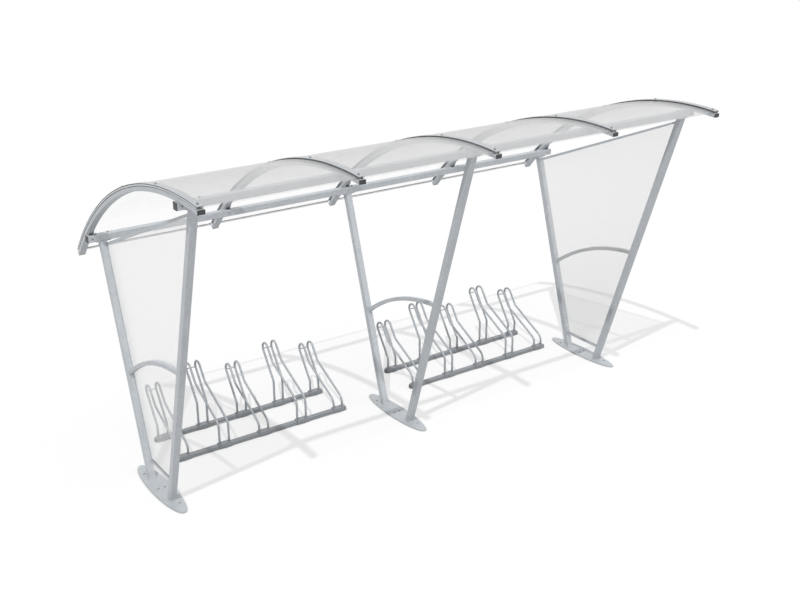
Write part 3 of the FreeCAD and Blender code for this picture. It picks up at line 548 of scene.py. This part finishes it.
for side in ("left", "middle", "right"):
    beads = []
    low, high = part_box("base_plate_" + side)
    x = (low[0] + high[0]) / 2
    for end, way in (("front", -1), ("rear", 1)):
        low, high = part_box("post_%s_%s" % (end, side))
        inner_y, outer_y = sorted((low[1], high[1]), key=abs)
        foot = (x, inner_y + way * HALF_CUT, low[2] + SEAM_LIFT)
        head = (x, outer_y - way * HALF_CUT, high[2] - SEAM_LIFT)
        for place in (foot, head):
            beads.append(bead(HALF_TUBE, HALF_CUT, Matrix.Translation(place), BEAD))
        point, up, inward, half = tie_seam(way, Vector((0.0, inner_y, low[2])))
        turn = Matrix((ALONG_X, up, ALONG_X.cross(up))).transposed().to_4x4()
        spot = Matrix.Translation(ALONG_X * x + point + inward * SEAM_LIFT)
        beads.append(bead(HALF_TIE, half, spot @ turn, TIE_BEAD))
    welds = joined(beads, "frame_welds_" + side, "galvanised")
    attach(welds, "root")
    print(welds.name, len(welds.data.polygons), "faces")

# %% [markdown]
# ## Weld rings at the rods' feet
# Each rod of a wheel holder stands on a folded saddle and is welded round its foot.
# The ring could be made like the beads; a torus is round from the start, so one small ring is shaped from
# it, rippled the same way, and copied to all forty feet.

# %% Ring round a rod's foot
RING_RADIUS = 0.0098
RING_BEAD = 0.0026
RING_STRETCH = 1.25
RING_RIPPLE = 0.0012

bpy.ops.object.select_all(action="DESELECT")
bpy.ops.mesh.primitive_torus_add(major_radius=RING_RADIUS, minor_radius=RING_BEAD,
                                 major_segments=24, minor_segments=8)
ring = bpy.context.object
bpy.ops.object.mode_set(mode="EDIT")
bpy.ops.mesh.select_all(action="SELECT")
bpy.ops.transform.resize(value=(1.0, 1.0, RING_STRETCH))
bpy.ops.object.mode_set(mode="OBJECT")
ripple(ring, RING_RIPPLE)
print("ring:", len(ring.data.polygons), "faces")

# %% Weld the wheel holders
HALF_ROD = 0.009
HOLDERS = range(1, 6)

foot_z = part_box("rack_saddles")[1][2]
for side in ("left", "right"):
    bars = [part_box("rack_%s_bar_%s" % (side, end)) for end in ("front", "rear")]
    feet_y = [(low[1] + high[1]) / 2 for low, high in bars]
    rings = []
    for number in HOLDERS:
        low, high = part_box("rack_%s_holder_%d" % (side, number))
        for x in (low[0] + HALF_ROD, high[0] - HALF_ROD):
            for y in feet_y:
                copy = ring.copy()
                copy.data = ring.data.copy()
                bpy.context.collection.objects.link(copy)
                copy.data.transform(Matrix.Translation((x, y, foot_z)))
                rings.append(copy)
    welds = joined(rings, "rod_welds_" + side, "rack_steel")
    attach(welds, "root")
    print(welds.name, len(welds.data.polygons), "faces")
bpy.data.objects.remove(ring)

# %% [markdown]
# ## Floor and sky
# The floor is a plain pale sheet that keeps the soft shadows.
# A little glow, seen only by the camera and in reflections, lifts its lit parts to white.
# The glow fades in narrow nooks, so the anchor holes stay dark and the base plates keep a thin dark rim.
# The sky is an even white studio; it looks white, and gives the object about half of that as light.

# %% Rays that see the studio
def seen(tree):
    """1 for rays from the camera and for mirrored and refracted ones, 0 for rays that only carry light."""
    path = put(tree, "ShaderNodeLightPath").outputs
    looked = reckon(tree, "MAXIMUM", path["Is Camera Ray"], path["Is Glossy Ray"])
    return reckon(tree, "MAXIMUM", looked, path["Is Transmission Ray"])


print("studio helper ready")

# %% Floor
FLOOR_SIZE = 160.0
FLOOR_GREY = (0.42, 0.42, 0.42, 1.0)
FLOOR_GLOW = 0.53
RIM_REACH = 0.02
RIM_DARK = 0.55
RIM_OPEN = 0.95

bpy.ops.object.select_all(action="DESELECT")
bpy.ops.mesh.primitive_plane_add(size=FLOOR_SIZE)
floor = bpy.context.object
floor.name = "floor"
tree = blank("floor_paper")
nook = put(tree, "ShaderNodeAmbientOcclusion", {"Distance": RIM_REACH}, samples=8).outputs["AO"]
glow = reckon(tree, "MULTIPLY", seen(tree), FLOOR_GLOW)
dim = reckon(tree, "MULTIPLY", glow, ramp(tree, nook, RIM_DARK, RIM_OPEN))
lit = put(tree, "ShaderNodeBsdfDiffuse", {"Color": FLOOR_GREY})
lift = put(tree, "ShaderNodeEmission", {"Strength": dim})
both = put(tree, "ShaderNodeAddShader", {0: lit.outputs[0], 1: lift.outputs[0]})
put(tree, "ShaderNodeOutputMaterial", {"Surface": both.outputs[0]})
floor.data.materials.append(FINISHES["floor_paper"])
print("floor:", floor.name)

# %% Sky
SKY_LIGHT = 0.495
SKY_SEEN = 1.0

world = bpy.data.worlds.new("studio")
bpy.context.scene.world = world
world.use_nodes = True
tree = world.node_tree
sky = tree.nodes["Background"]
sky.inputs["Color"].default_value = WHITE
tree.links.new(spread(tree, seen(tree), SKY_LIGHT, SKY_SEEN), sky.inputs["Strength"])
print("sky:", world.name)

# %% [markdown]
# ## Lamps and camera
# A sun from the left front gives the shadows their direction.
# A broad fill lamp from the right front lights the posts' front faces without a clear shadow of its own.
# The camera stands at the photograph's place and angle.

# %% Lamps
def lamp(name, energy, width, way):
    """Sun lamp; width is its angle in degrees, and way is where its light goes."""
    bpy.ops.object.light_add(type="SUN")
    made = bpy.context.object
    made.name = name
    made.data.energy = energy
    made.data.angle = math.radians(width)
    made.rotation_euler = Vector(way).to_track_quat("-Z", "Y").to_euler()
    print(name, "lamp:", energy)


lamp("sun", energy=1.75, width=0.8, way=(0.425, 0.33, -0.843))
lamp("fill", energy=0.78, width=80.0, way=(-0.35, 0.58, -0.74))

# %% Camera
CAMERA_PLACE = (-4.7186, -6.8129, 4.3514)
CAMERA_DIP = 0.3830
CAMERA_TURN = -0.6088
CAMERA_LENS = 50.14

bpy.ops.object.camera_add(location=CAMERA_PLACE, rotation=(math.pi / 2 - CAMERA_DIP, 0.0, CAMERA_TURN))
camera = bpy.context.object
camera.name = "camera"
camera.data.sensor_width = 36.0
camera.data.lens = CAMERA_LENS
camera.data.clip_end = 300.0
bpy.context.scene.camera = camera
print("camera at", [round(c, 3) for c in camera.location])
